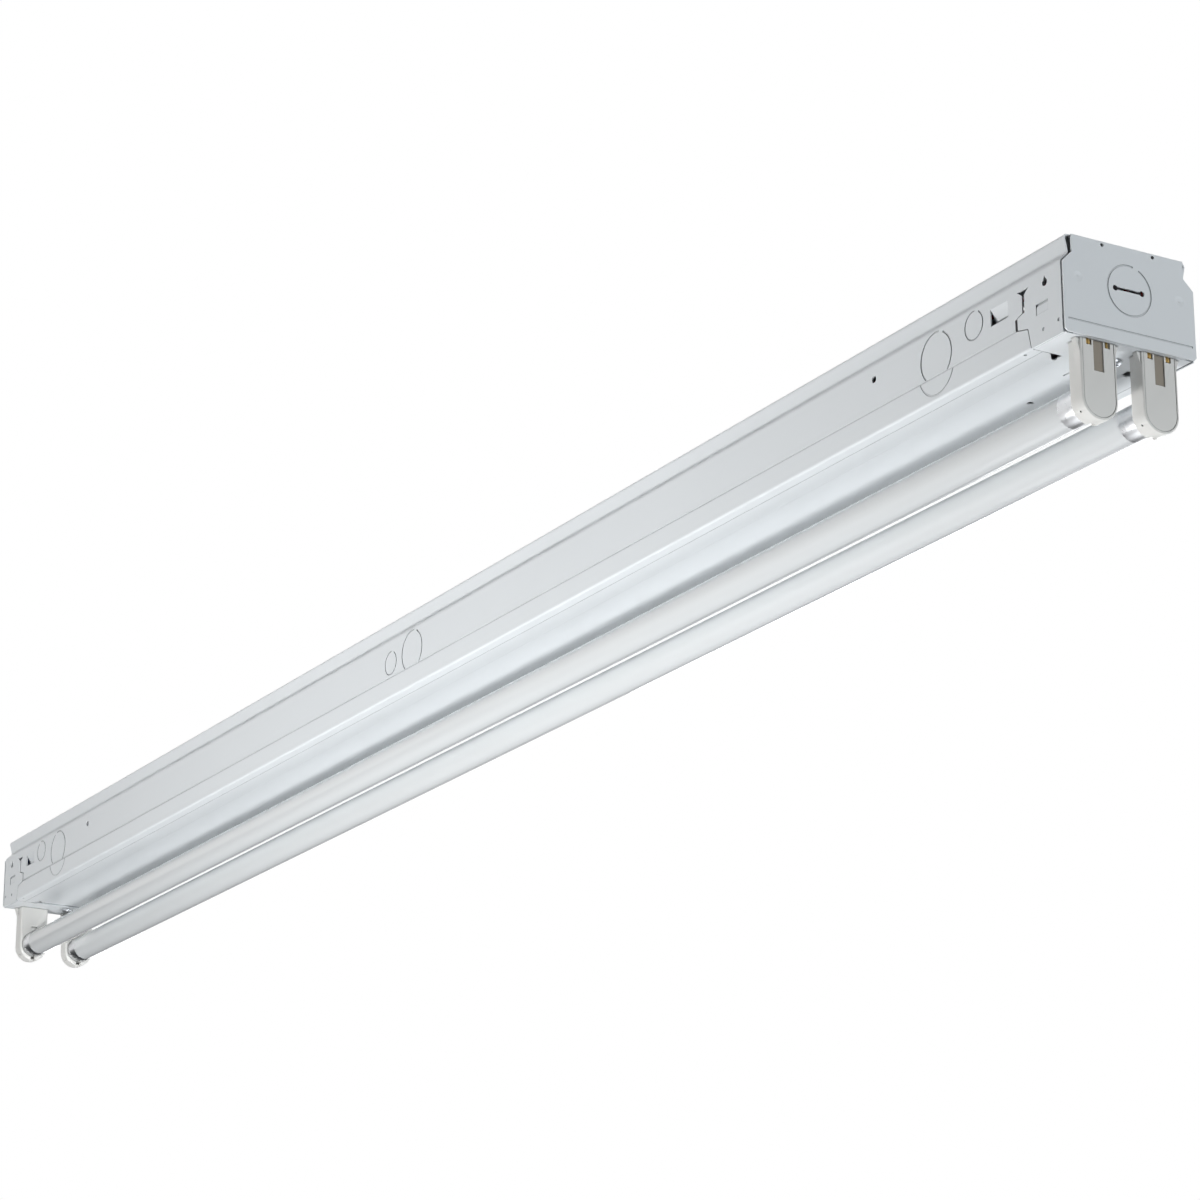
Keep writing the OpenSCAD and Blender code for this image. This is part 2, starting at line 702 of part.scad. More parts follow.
module ballast_can() color("silver") difference() {
    block(ballast_x - ballast_l / 2, ballast_x + ballast_l / 2, -ballast_w / 2, ballast_w / 2,
        -ballast_low, -ballast_top - ballast_t - slip);
    block(ballast_x - ballast_l / 2 + ballast_t, ballast_x + ballast_l / 2 - ballast_t,
        ballast_t - ballast_w / 2, ballast_w / 2 - ballast_t, ballast_t - ballast_low, 0);
    for (s = [-1, 1], y = [-1, 1], z = [-1, 1])
        translate([ballast_x, s * lamp_y + y * window_y, -lead_h])
            rod_x(z < 0 ? -ballast_l / 2 - cut : 0, z < 0 ? 0 : ballast_l / 2 + cut,
                lead_hole_d / 2);
    for (y = [-1, 1]) translate([ballast_x, y * supply_y, -supply_h])
        rod_x(0, ballast_l / 2 + cut, lead_hole_d / 2);
}

fill_inset = ballast_t + slip;
module ballast_filling() color("dimgray") block(
    ballast_x - ballast_l / 2 + fill_inset, ballast_x + ballast_l / 2 - fill_inset,
    fill_inset - ballast_w / 2, ballast_w / 2 - fill_inset,
    fill_inset - ballast_low, -ballast_top - base_flange - slip);

module ballast_screws() color("silver") for (s = [-1, 1])
    translate([ballast_x + s * (ballast_l + base_tab_l) / 2, 0, -ballast_top - ballast_t - slip])
        screw(ballast_t + sheet_t);

ground_x = ballast_x + ballast_l / 2 + ground_from_ballast;
ring_top = sheet_t + slip;
module ground_screw() color("seagreen")
    translate([ground_x, 0, -ring_top - ground_ring_t - slip]) screw(sheet_t + ground_ring_t);

module ground_lead() color("green") difference() {
    union() {
        translate([ground_x, 0, -ring_top - ground_ring_t])
            cylinder(h = ground_ring_t, d = ground_ring_d);
        translate([ground_x, 0, -ring_top - ground_barrel_d / 2]) {
            rod_x(ground_ring_d / 2 - slip, ground_ring_d / 2 + ground_barrel_l, ground_barrel_d / 2);
            rod_x(ground_ring_d / 2, ground_ring_d / 2 + ground_run, lead_d / 2);
        }
    }
    translate([ground_x, 0, -ring_top - ground_ring_t - cut])
        cylinder(h = ground_ring_t + 2 * cut, d = screw_hole_d);
}

// Lead along +x at height -h, then a bend towards z = -h + up * (r + rise) at x = x1
module lead(x0, x1, h, r, up, rise) translate([0, 0, -h]) {
    rod_x(x0, x1 - r, lead_d / 2);
    translate([x1 - r, 0, up * r]) rotate([90, 0, 0]) rotate([0, 0, up > 0 ? -90 : 0])
        rotate_extrude(angle = 90) translate([r, 0]) circle(d = lead_d);
    translate([x1, 0, up > 0 ? r : -r - rise]) cylinder(h = rise, d = lead_d);
}

module supply_leads() color("black") for (y = [-1, 1]) translate([0, y * supply_y, 0])
    lead(ballast_x + ballast_l / 2 - ballast_t, ballast_x + ballast_l / 2 + supply_run,
        supply_h, supply_bend_r, 1, supply_h - supply_bend_r - supply_rise);

lead_drop = lamp_drop - holder_top - neck_rise + leaf_top_drop - lead_h - lead_bend_r - slip;
module lamp_leads(x0) for (s = [-1, 1], y = [-1, 1]) translate([0, s * lamp_y + y * window_y, 0])
    lead(x0, lead_x, lead_h, lead_bend_r, -1, lead_drop);
module lamp_leads_left() color("royalblue") mirror([1, 0, 0])
    lamp_leads(ballast_l / 2 - ballast_t - ballast_x);
module lamp_leads_right() color("firebrick") lamp_leads(ballast_x + ballast_l / 2 - ballast_t);

channel();
cover();
mirror([1, 0, 0]) bracket();  // bracket_left
bracket();  // bracket_right
at_holder(1, -lamp_y) holder();  // holder_left_front
at_holder(1, lamp_y) holder();  // holder_left_rear
at_holder(0, -lamp_y) holder();  // holder_right_front
at_holder(0, lamp_y) holder();  // holder_right_rear
at_holder(1, -lamp_y) holder_back();  // holder_back_left_front
at_holder(1, lamp_y) holder_back();  // holder_back_left_rear
at_holder(0, -lamp_y) holder_back();  // holder_back_right_front
at_holder(0, lamp_y) holder_back();  // holder_back_right_rear
at_holder(1, -lamp_y) rotor();  // rotor_left_front
at_holder(1, lamp_y) rotor();  // rotor_left_rear
at_holder(0, -lamp_y) rotor();  // rotor_right_front
at_holder(0, lamp_y) rotor();  // rotor_right_rear
at_holder(1, -lamp_y) contacts();  // contacts_left_front
at_holder(1, lamp_y) contacts();  // contacts_left_rear
at_holder(0, -lamp_y) contacts();  // contacts_right_front
at_holder(0, lamp_y) contacts();  // contacts_right_rear
at_lamp(-lamp_y) lamp_tube();  // lamp_tube_front
at_lamp(lamp_y) lamp_tube();  // lamp_tube_rear
at_lamp(-lamp_y) lamp_caps();  // lamp_caps_front
at_lamp(lamp_y) lamp_caps();  // lamp_caps_rear
at_lamp(-lamp_y) cap_discs();  // cap_discs_front
at_lamp(lamp_y) cap_discs();  // cap_discs_rear
at_lamp(-lamp_y) lamp_pins();  // lamp_pins_front
at_lamp(lamp_y) lamp_pins();  // lamp_pins_rear
ballast_base();
ballast_can();
ballast_filling();
ballast_screws();
cover_screws();
ground_screw();
ground_lead();
supply_leads();
lamp_leads_left();
lamp_leads_right();
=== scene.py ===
import json
import math
import bmesh
import bpy
from mathutils import Matrix, Vector


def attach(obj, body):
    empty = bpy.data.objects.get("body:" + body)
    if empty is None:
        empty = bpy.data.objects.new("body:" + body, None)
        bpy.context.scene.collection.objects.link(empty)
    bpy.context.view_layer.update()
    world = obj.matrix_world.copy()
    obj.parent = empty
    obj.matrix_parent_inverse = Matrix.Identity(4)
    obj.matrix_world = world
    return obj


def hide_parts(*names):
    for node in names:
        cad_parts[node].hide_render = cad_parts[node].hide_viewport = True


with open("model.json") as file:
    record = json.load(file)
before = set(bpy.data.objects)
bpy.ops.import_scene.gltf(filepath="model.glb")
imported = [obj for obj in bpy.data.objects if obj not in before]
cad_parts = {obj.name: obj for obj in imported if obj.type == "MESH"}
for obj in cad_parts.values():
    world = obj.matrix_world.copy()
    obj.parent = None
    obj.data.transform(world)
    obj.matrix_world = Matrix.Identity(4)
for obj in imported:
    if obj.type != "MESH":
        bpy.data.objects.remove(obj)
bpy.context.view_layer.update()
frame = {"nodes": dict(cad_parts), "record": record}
parts = frame["nodes"]
print("frame loaded,", len(parts), "nodes")


# Shader maths: a Signal is one output socket, and sums of Signals add their own nodes
class Signal:
    def __init__(self, board, socket):
        self.board = board
        self.socket = socket

    def combine(self, operation, first, second):
        return self.board.node("ShaderNodeMath", {"operation": operation}, {0: first, 1: second})

    def __add__(self, other):
        return self.combine("ADD", self, other)

    def __radd__(self, other):
        return self.combine("ADD", other, self)

    def __sub__(self, other):
        return self.combine("SUBTRACT", self, other)

    def __rsub__(self, other):
        return self.combine("SUBTRACT", other, self)

    def __mul__(self, other):
        return self.combine("MULTIPLY", self, other)

    def __rmul__(self, other):
        return self.combine("MULTIPLY", other, self)

    def most(self, other):
        return self.combine("MAXIMUM", self, other)


# A Board is the node tree of one material or of the world
class Board:
    def __init__(self, name, owners=bpy.data.materials):
        self.owner = owners.new(name)
        self.owner.use_nodes = True
        self.tree = self.owner.node_tree
        self.tree.nodes.clear()

    def socketOf(self, made, key):
        if isinstance(key, int):
            return made.inputs[key]
        return next(socket for socket in made.inputs if key in (socket.identifier, socket.name))

    def node(self, kind, settings=None, sockets=None, out=0):
        made = self.tree.nodes.new(kind)
        for key, value in (settings or {}).items():
            setattr(made, key, value)
        for key, value in (sockets or {}).items():
            target = self.socketOf(made, key)
            if isinstance(value, Signal):
                self.tree.links.new(value.socket, target)
            else:
                target.default_value = value
        return Signal(self, made.outputs[out]) if made.outputs else None

    def places(self):
        return self.node("ShaderNodeTexCoord", out="Object")

    # Painted shade: the share of darkening in grooves and seams narrower than the reach, taken from ambient
    # occlusion
    def creviceShade(self, reach, gain):
        opened = self.node("ShaderNodeAmbientOcclusion", {"samples": 8}, {"Distance": reach}, out="AO")
        return self.node("ShaderNodeMath", {"operation": "MULTIPLY", "use_clamp": True},
                         {0: 1.0 - opened, 1: gain})

    def stretched(self, scale):
        return self.node("ShaderNodeMapping", None, {"Vector": self.places(), "Scale": scale})

    def noise(self, scale, places=None, detail=2.0):
        return self.node("ShaderNodeTexNoise", None, {
            "Vector": places or self.places(), "Scale": scale, "Detail": detail})

    def blend(self, share, first, second):
        return self.node("ShaderNodeMix", {"data_type": "RGBA"}, {
            "Factor_Float": share, "A_Color": first, "B_Color": second}, out=2)

    def bump(self, height, strength, distance):
        return self.node("ShaderNodeBump", None, {
            "Height": height, "Strength": strength, "Distance": distance})

    # 1 where the camera, a mirror or a clear surface sees it, 0 for the light that it gives
    def seen(self):
        camera, glossy, clear = [self.node("ShaderNodeLightPath", out="Is " + kind + " Ray")
                                 for kind in ("Camera", "Glossy", "Transmission")]
        return camera.most(glossy.most(clear))

    def finish(self, **sockets):
        named = {key.replace("_", " "): value for key, value in sockets.items()}
        shader = self.node("ShaderNodeBsdfPrincipled", None, named)
        self.node("ShaderNodeOutputMaterial", None, {"Surface": shader})
        return self.owner


def shade(red, green, blue):
    return (red, green, blue, 1.0)


# Finishes; depths are in metres, and a noise scale is its cells to the metre
# The last three entries of a look paint shade into grooves and seams: its dark tone, reach and gain
enamelLook = {"colour": shade(0.80, 0.83, 0.85), "dull": shade(0.755, 0.785, 0.805), "cloudScale": 9.0,
              "roughness": 0.34, "fineScale": 120.0, "fineReach": 0.1,
              "peelScale": 700.0, "peelStrength": 0.35, "peelDepth": 0.00004,
              "paintedShade": shade(0.18, 0.19, 0.205), "crevice": 0.0013, "gain": 1.2}


# Paint darkened towards the dark tone in grooves and seams: painted shade
def withPaintedShade(board, look, paint):
    return board.blend(board.creviceShade(look["crevice"], look["gain"]), paint, look["paintedShade"])


def enamel(name, look=enamelLook):
    board = Board(name)
    cloudy = board.noise(look["cloudScale"], detail=3.0)
    peel = board.noise(look["peelScale"], detail=1.0)
    fine = board.noise(look["fineScale"], detail=2.0)
    return board.finish(
        Base_Color=withPaintedShade(board, look, board.blend(cloudy, look["colour"], look["dull"])),
        Roughness=look["roughness"] + look["fineReach"] * (fine - 0.5),
        Normal=board.bump(peel, look["peelStrength"], look["peelDepth"]),
        Coat_Roughness=0.2, IOR=1.5)


# The last three entries paint shade into grooves and seams: its dark tone, reach and gain
plasticLook = {"colour": shade(0.77, 0.765, 0.74), "deep": shade(0.73, 0.725, 0.70), "cloudScale": 60.0,
               "roughness": 0.42, "grainScale": 2600.0, "grainReach": 0.12,
               "grainStrength": 0.25, "grainDepth": 0.00002,
               "paintedShade": shade(0.10, 0.10, 0.10), "crevice": 0.001, "gain": 1.0}


def plastic(name, look=plasticLook):
    board = Board(name)
    cloudy = board.noise(look["cloudScale"], detail=2.0)
    grain = board.noise(look["grainScale"], detail=1.0)
    return board.finish(
        Base_Color=withPaintedShade(board, look, board.blend(cloudy, look["colour"], look["deep"])),
        Roughness=look["roughness"] + look["grainReach"] * (grain - 0.5),
        Normal=board.bump(grain, look["grainStrength"], look["grainDepth"]))


metalLook = {"cloudScale": 90.0, "scratchScale": 500.0, "scratchStretch": (1.0, 0.06, 1.0),
             "scratchReach": 0.16, "scratchStrength": 0.2, "scratchDepth": 0.00002}
metalTones = {
    "brass": {"colour": shade(0.60, 0.42, 0.16), "tarnish": shade(0.36, 0.25, 0.10), "roughness": 0.3},
    "pinBrass": {"colour": shade(0.70, 0.58, 0.34), "tarnish": shade(0.5, 0.4, 0.22), "roughness": 0.28},
    "aluminium": {"colour": shade(0.72, 0.73, 0.74), "tarnish": shade(0.55, 0.56, 0.58), "roughness": 0.3},
    "zinc": {"colour": shade(0.66, 0.68, 0.70), "tarnish": shade(0.48, 0.50, 0.53), "roughness": 0.28},
    "galvanised": {"colour": shade(0.55, 0.57, 0.58), "tarnish": shade(0.42, 0.44, 0.46), "roughness": 0.42},
    "greenZinc": {"colour": shade(0.08, 0.30, 0.13), "tarnish": shade(0.05, 0.2, 0.09), "roughness": 0.35},
}


def metal(name, tone, look=metalLook):
    board = Board(name)
    cloudy = board.noise(look["cloudScale"], detail=4.0)
    scratches = board.noise(look["scratchScale"], board.stretched(look["scratchStretch"]), detail=2.0)
    return board.finish(
        Base_Color=board.blend(cloudy, tone["colour"], tone["tarnish"]),
        Roughness=tone["roughness"] + look["scratchReach"] * (scratches - 0.5),
        Metallic=1.0,
        Normal=board.bump(scratches, look["scratchStrength"], look["scratchDepth"]))


insulationLook = {"cloudScale": 40.0, "roughness": 0.38, "fineScale": 600.0, "fineReach": 0.1}


def insulation(name, colour, deep, look=insulationLook):
    board = Board(name)
    cloudy = board.noise(look["cloudScale"])
    fine = board.noise(look["fineScale"])
    return board.finish(Base_Color=board.blend(cloudy, colour, deep),
                        Roughness=look["roughness"] + look["fineReach"] * (fine - 0.5))


glassLook = {"colour": shade(0.70, 0.722, 0.732), "deep": shade(0.60, 0.605, 0.60), "deepShare": 0.35,
             "cloudScale": 14.0, "cloudStretch": (0.3, 1.0, 1.0), "roughness": 0.16, "cloudReach": 0.06}


def coatedGlass(name, look=glassLook):
    board = Board(name)
    cloudy = board.noise(look["cloudScale"], board.stretched(look["cloudStretch"]), detail=3.0)
    return board.finish(
        Base_Color=board.blend(look["deepShare"] * cloudy, look["colour"], look["deep"]),
        Roughness=look["roughness"] + look["cloudReach"] * (cloudy - 0.5),
        Coat_Weight=0.6, Coat_Roughness=0.05, IOR=1.5)


resinLook = {"colour": shade(0.02, 0.02, 0.022), "pale": shade(0.05, 0.05, 0.05), "lumpScale": 150.0,
             "roughness": 0.5, "lumpReach": 0.2, "lumpStrength": 0.4, "lumpDepth": 0.0003}


def resin(name, look=resinLook):
    board = Board(name)
    lumps = board.noise(look["lumpScale"], detail=3.0)
    return board.finish(Base_Color=board.blend(lumps, look["colour"], look["pale"]),
                        Roughness=look["roughness"] + look["lumpReach"] * (lumps - 0.5),
                        Normal=board.bump(lumps, look["lumpStrength"], look["lumpDepth"]))


finishes = {
    "white_enamel": enamel("whiteEnamel"),
    "bracket_enamel": enamel("bracketEnamel"),
    "holder_plastic": plastic("holderPlastic"),
    "holder_back_plastic": plastic("holderBackPlastic"),
    "rotor_plastic": plastic("rotorPlastic", {**plasticLook, "colour": shade(0.74, 0.74, 0.72),
                                              "deep": shade(0.68, 0.68, 0.66), "roughness": 0.4}),
    # The strip's dark tone is partly its own brown plastic and partly painted shade of the recess that it
    # sits in
    "strip_plastic": plastic("stripPlastic", {**plasticLook, "colour": shade(0.27, 0.235, 0.19),
                                              "deep": shade(0.24, 0.21, 0.17), "roughness": 0.5}),
    "spring_brass": metal("springBrass", metalTones["brass"]),
    "pin_brass": metal("pinBrass", metalTones["pinBrass"]),
    "coated_glass": coatedGlass("coatedGlass"),
    "cap_aluminium": metal("capAluminium", metalTones["aluminium"]),
    "disc_phenolic": plastic("discPhenolic", {**plasticLook, "colour": shade(0.42, 0.30, 0.18),
                                              "deep": shade(0.34, 0.24, 0.14), "roughness": 0.5}),
    "ballast_steel": metal("ballastSteel", metalTones["galvanised"]),
    "ballast_enamel": enamel("ballastEnamel", {**enamelLook, "colour": shade(0.55, 0.57, 0.58),
                                               "dull": shade(0.5, 0.52, 0.53)}),
    "potting": resin("potting"),
    "zinc_steel": metal("zincSteel", metalTones["zinc"]),
    "green_steel": metal("greenSteel", metalTones["greenZinc"]),
    "green_insulation": insulation("greenInsulation", shade(0.02, 0.20, 0.05), shade(0.02, 0.16, 0.04)),
    "black_insulation": insulation("blackInsulation", shade(0.012, 0.012, 0.012),
                                   shade(0.02, 0.02, 0.02)),
    "blue_insulation": insulation("blueInsulation", shade(0.02, 0.06, 0.36), shade(0.02, 0.05, 0.3)),
    "red_insulation": insulation("redInsulation", shade(0.42, 0.02, 0.02), shade(0.34, 0.02, 0.02)),
}
slotOf = {row["node"]: row["material_slot"] for row in frame["record"]["subparts"]}
for name, piece in parts.items():
    piece.data.materials.clear()
    piece.data.materials.append(finishes[slotOf[name]])
print("finishes on")


# Solids in millimetres, turned into metres when they are made
millimetre = 0.001


def meshObject(name, points, faces):
    mesh = bpy.data.meshes.new(name)
    mesh.from_pydata([[millimetre * value for value in point] for point in points], [], faces)
    tidyMesh(mesh)
    made = bpy.data.objects.new(name, mesh)
    bpy.context.scene.collection.objects.link(made)
    return made


def tidyMesh(mesh):
    sheet = bmesh.new()
    sheet.from_mesh(mesh)
    bmesh.ops.remove_doubles(sheet, verts=sheet.verts, dist=0.000001)
    bmesh.ops.recalc_face_normals(sheet, faces=sheet.faces)
    sheet.to_mesh(mesh)
    sheet.free()


def ringsOf(name, loops, closed):
    count = len(loops[0])
    points = [point for loop in loops for point in loop]
    rows = len(loops)
    faces = [(row * count + k, row * count + (k + 1) % count,
              (row + 1) % rows * count + (k + 1) % count, (row + 1) % rows * count + k)
             for row in range(rows if closed else rows - 1) for k in range(count)]
    if not closed:
        faces += [tuple(range(count)), tuple(reversed(range(len(points) - count, len(points))))]
    return meshObject(name, points, faces)


def blockOf(name, low, high):
    outline = ((low[1], low[2]), (high[1], low[2]), (high[1], high[2]), (low[1], high[2]))
    return ringsOf(name, [[(x, y, z) for y, z in outline] for x in (low[0], high[0])], False)


def settle(piece):
    graph = bpy.context.evaluated_depsgraph_get()
    mesh = bpy.data.meshes.new_from_object(piece.evaluated_get(graph), depsgraph=graph)
    piece.modifiers.clear()
    piece.data = mesh
    return piece


def carve(target, tools, operation="DIFFERENCE"):
    for tool in tools:
        step = target.modifiers.new("carve", "BOOLEAN")
        step.object = tool
        step.operation = operation
        step.solver = "EXACT"
    settle(target)
    for tool in tools:
        bpy.data.objects.remove(tool)
    return target


def eased(piece, width, angle=40.0):
    step = piece.modifiers.new("ease", "BEVEL")
    step.width = width * millimetre
    step.segments = 2
    step.limit_method = "ANGLE"
    step.angle_limit = math.radians(angle)
    return settle(piece)


def smoothed(mesh, angle=32.0):
    mesh.polygons.foreach_set("use_smooth", [True] * len(mesh.polygons))
    mesh.set_sharp_from_angle(angle=math.radians(angle))


def dressed(piece, name, slot, nodes=(), body="root"):
    piece.name = name
    piece.data.name = name
    piece.data.materials.clear()
    piece.data.materials.append(finishes[slot])
    smoothed(piece.data)
    slot in slotOf.values()
    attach(piece, body)
    if nodes:
        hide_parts(*nodes)
    return piece


def copyTo(source, left, y, look):
    mesh = source.data.copy()
    side = -1.0 if left else 1.0
    for vertex in mesh.vertices:
        x, across, up = vertex.co
        vertex.co = (side * (look["face"] * millimetre + x), across + y * millimetre,
                     up - look["axisDrop"] * millimetre)
    if left:
        mesh.flip_normals()
    made = bpy.data.objects.new(source.name, mesh)
    bpy.context.scene.collection.objects.link(made)
    return made


past = 1.0  # how far a cutting shape reaches past the surface that it cuts


def fullTurns(steps):
    return [2 * math.pi * k / steps for k in range(steps)]


def quarterTurns(steps):
    return [math.pi / 2 * k / steps for k in range(steps + 1)]


# Lampholders; local x = 0 is the face on the lamp side, local z = 0 the lamp axis
holderLook = {
    "face": 574.8, "axisDrop": 70.8, "lampY": 16.25,  # where it stands on the light
    "depth": 8.9, "radius": 9.45, "foot": 10.4, "top": 25.2, "arcSteps": 40,  # body
    "frontEdge": 1.2, "rimEdge": 0.7, "backEdge": 0.5, "edgeSteps": 6, "ease": 0.14,  # rounded edges
    "front": 2.2, "wall": 1.5, "rim": 1.0, "back": 1.6, "gap": 0.1,  # thickness of its walls
    "neckFrom": 0.5, "neckHalf": 7.8, "neckRise": 9.6, "neckWall": 1.4,
    "neckRoom": 6.0, "passageRise": 20.0,
    "earFrom": 5.2, "earTo": 8.0, "earReach": 1.9, "earDrop": 5.8, "earRoot": 1.0,
    "bore": 7.12, "entry": 3.2,  # round hole of the rotor and slot for the pins
    "restDepth": 1.0, "rests": ((2.0, 11.35, 12.45), (1.3, 8.6, 9.4)),  # half width, foot and top
    "ventX": 4.6, "ventTurn": 38.0, "ventFrom": 0.8, "vent": 0.5, "ventSteps": 24,
    "recessHalf": 2.65, "recessDepth": 1.1, "recessFoot": 11.3, "stripThick": 0.5,
    "windowY": 4.9, "windowHalf": 1.4, "windowDrop": 2.6,
    "flagHalf": 1.0, "flagThick": 0.35, "flagInset": 0.5, "flagTop": 0.1, "flagDrop": 1.9}  # brass


def footed(look, radius, top):
    low = look["radius"] - look["foot"]
    steps = look["arcSteps"]
    turns = [math.pi * (1 + k / steps) for k in range(steps + 1)]
    arc = [(radius * math.cos(t), low + radius * math.sin(t)) for t in turns]
    return [(-radius, top)] + arc + [(radius, top)]


def footedSolid(name, look, start, end, radius, top, startEdge=0.0, endEdge=0.0):
    turns = quarterTurns(look["edgeSteps"])
    first = [(start + startEdge * (1 - math.cos(t)), startEdge * (1 - math.sin(t))) for t in turns]
    last = [(end - endEdge * (1 - math.cos(t)), endEdge * (1 - math.sin(t))) for t in reversed(turns)]
    stations = (first if startEdge else [(start, 0.0)]) + (last if endEdge else [(end, 0.0)])
    loops = [[(x, y, z) for y, z in footed(look, radius - inset, top)] for x, inset in stations]
    return ringsOf(name, loops, False)


def rodBetween(name, start, end, radius, steps=72):
    start, end = Vector(start), Vector(end)
    across = (end - start).normalized().orthogonal().normalized()
    beside = (end - start).normalized().cross(across)
    loops = [[tuple(point + radius * (math.cos(t) * across + math.sin(t) * beside))
              for t in fullTurns(steps)] for point in (start, end)]
    return ringsOf(name, loops, False)


def holderBody(look):
    deep, wide, top = look["depth"], look["radius"], look["top"]
    neck, brim, root = look["neckHalf"], look["earTo"], wide - look["earRoot"]
    body = footedSolid("holder", look, 0.0, deep, wide, top, look["frontEdge"], look["rimEdge"])
    grown = [blockOf("neck", (look["neckFrom"], -neck, top - past), (brim, neck, top + look["neckRise"]))]
    for side in (-1, 1):
        corners = [(side * root, top), (side * (wide + look["earReach"]), top),
                   (side * wide, top - look["earDrop"]), (side * root, top - look["earDrop"])]
        grown.append(ringsOf("ear", [[(x, y, z) for y, z in corners] for x in (look["earFrom"], brim)],
                             False))
    carve(body, grown, "UNION")
    front, room, entry = look["front"], neck - look["neckWall"], look["entry"] / 2
    low, slant = wide - look["foot"], math.radians(look["ventTurn"])
    vent = [(look["ventX"], -reach * math.cos(slant), low - reach * math.sin(slant))
            for reach in (wide - look["ventFrom"], wide + past)]
    tools = [
        footedSolid("room", look, front, deep + past, wide - look["wall"], top - look["wall"]),
        footedSolid("pocket", look, deep - look["back"] - look["gap"], deep + past, wide - look["rim"],
                    top + past),
        blockOf("passage", (front, -room, top - look["neckRoom"]),
                (brim - look["neckWall"], room, top + look["passageRise"])),
        rodBetween("bore", (-past, 0.0, 0.0), (front + past, 0.0, 0.0), look["bore"]),
        rodBetween("vent", vent[0], vent[1], look["vent"], look["ventSteps"]),
        blockOf("entry", (-past, -entry, -look["foot"] - past), (front + past, entry, 0.0))]
    tools += [blockOf("rest", (-past, -half, foot), (look["restDepth"], half, head))
              for half, foot, head in look["rests"]]
    return eased(carve(body, tools), look["ease"])


def holderBack(look):
    deep, top = look["depth"], look["top"]
    back = footedSolid("holderBack", look, deep - look["back"], deep,
                       look["radius"] - look["rim"] - look["gap"], top, 0.0, look["backEdge"])
    cuts = [(0.0, look["recessHalf"], deep - look["recessDepth"], look["recessFoot"])]
    cuts += [(side * look["windowY"], look["windowHalf"], 0.0, top - look["windowDrop"])
             for side in (-1, 1)]
    tools = [blockOf("cut", (x, middle - half, foot), (deep + past, middle + half, top + past))
             for middle, half, x, foot in cuts]
    return eased(carve(back, tools), look["ease"] / 2)


def holderStrip(look):
    deep, gap = look["depth"] - look["recessDepth"], look["gap"]
    return blockOf("holderStrip", (deep, gap - look["recessHalf"], look["recessFoot"] + gap),
                   (deep + look["stripThick"], look["recessHalf"] - gap, look["top"] - gap))


def windowBrass(look, sides):
    deep, half, top = look["depth"] - look["flagInset"], look["flagHalf"], look["top"]
    flags = [blockOf("flag", (deep - look["flagThick"], middle - half, top - look["flagDrop"]),
                     (deep, middle + half, top - look["flagTop"]))
             for middle in [side * look["windowY"] for side in sides]]
    return carve(flags[0], flags[1:], "UNION")


# Each kind of piece: its shape, its slot and the start of the name of the node that it replaces
shapes = {"Body": (holderBody(holderLook), "holder_plastic", "holder_"),
          "Back": (holderBack(holderLook), "holder_back_plastic", "holder_back_"),
          "Strip": (holderStrip(holderLook), "strip_plastic", ""),
          "Brass": (windowBrass(holderLook, (-1, 1)), "spring_brass", ""),
          "BrassSingle": (windowBrass(holderLook, (-1,)), "spring_brass", "")}
singleFlag = "right_front"  # the lampholder with brass in one window only
for end in ("left", "right"):
    for row in ("front", "rear"):
        place = end + "_" + row
        for kind, (shape, slot, prefix) in shapes.items():
            if kind == ("Brass" if place == singleFlag else "BrassSingle"):
                continue
            y = holderLook["lampY"] * (-1 if row == "front" else 1)
            dressed(copyTo(shape, end == "left", y, holderLook),
                    "holder" + kind + end.capitalize() + row.capitalize(), slot,
                    [prefix + place] if prefix else [])
for shape, slot, prefix in shapes.values():
    bpy.data.objects.remove(shape)
print("lampholders built")

# Lamp caps, turned about the lamp axis; past the seat the cap is a thin skin over the glass
capLook = {"face": 574.5, "length": 10.6, "radius": 8.06, "hole": 5.5, "inner": 7.6, "wall": 0.45,
           "seat": 8.2, "skin": 0.05, "lip": 0.35, "lipDrop": 0.03, "edge": 0.7, "edgeSteps": 6,
           "steps": 128}


def capProfile(look):
    radius, edge, length = look["radius"], look["edge"], look["length"]
    wall, seat, inner = look["wall"], look["seat"], look["inner"]
    rounded = [(edge * (1 - math.sin(t)), radius - edge * (1 - math.cos(t)))
               for t in reversed(quarterTurns(look["edgeSteps"]))]
    return [(0.0, look["hole"])] + rounded + [
        (length - look["lip"], radius), (length, radius - look["lipDrop"]),
        (length, radius - look["skin"]), (seat, radius - look["skin"]), (seat, inner), (wall, inner),
        (wall, look["hole"])]


def capPair(look, y, z):
    ends = []
    for side in (-1, 1):
        loops = [[(side * (look["face"] - x), y + r * math.cos(t), r * math.sin(t) + z)
                  for t in fullTurns(look["steps"])] for x, r in capProfile(look)]
        ends.append(ringsOf("cap", loops, True))
    return carve(ends[0], ends[1:], "UNION")


for row, y in (("front", -holderLook["lampY"]), ("rear", holderLook["lampY"])):
    dressed(capPair(capLook, y, -holderLook["axisDrop"]), "lampCaps" + row.capitalize(),
            "cap_aluminium", ["lamp_caps_" + row], "lamp_" + row)
print("caps built")

# Pan-head screws, set on points by one node tree
screwLook = {"head": 3.3, "rise": 2.2, "rim": 0.8, "shank": 1.5, "length": 5.0, "tip": 0.01,
             "slotHalf": 0.45, "slotReach": 1.9, "slotDepth": 1.2, "domeSteps": 8, "steps": 64,
             "places": ((568.5, 4.0), (-568.5, 4.0)), "level": -45.6, "turn": 0.7, "seed": 4}


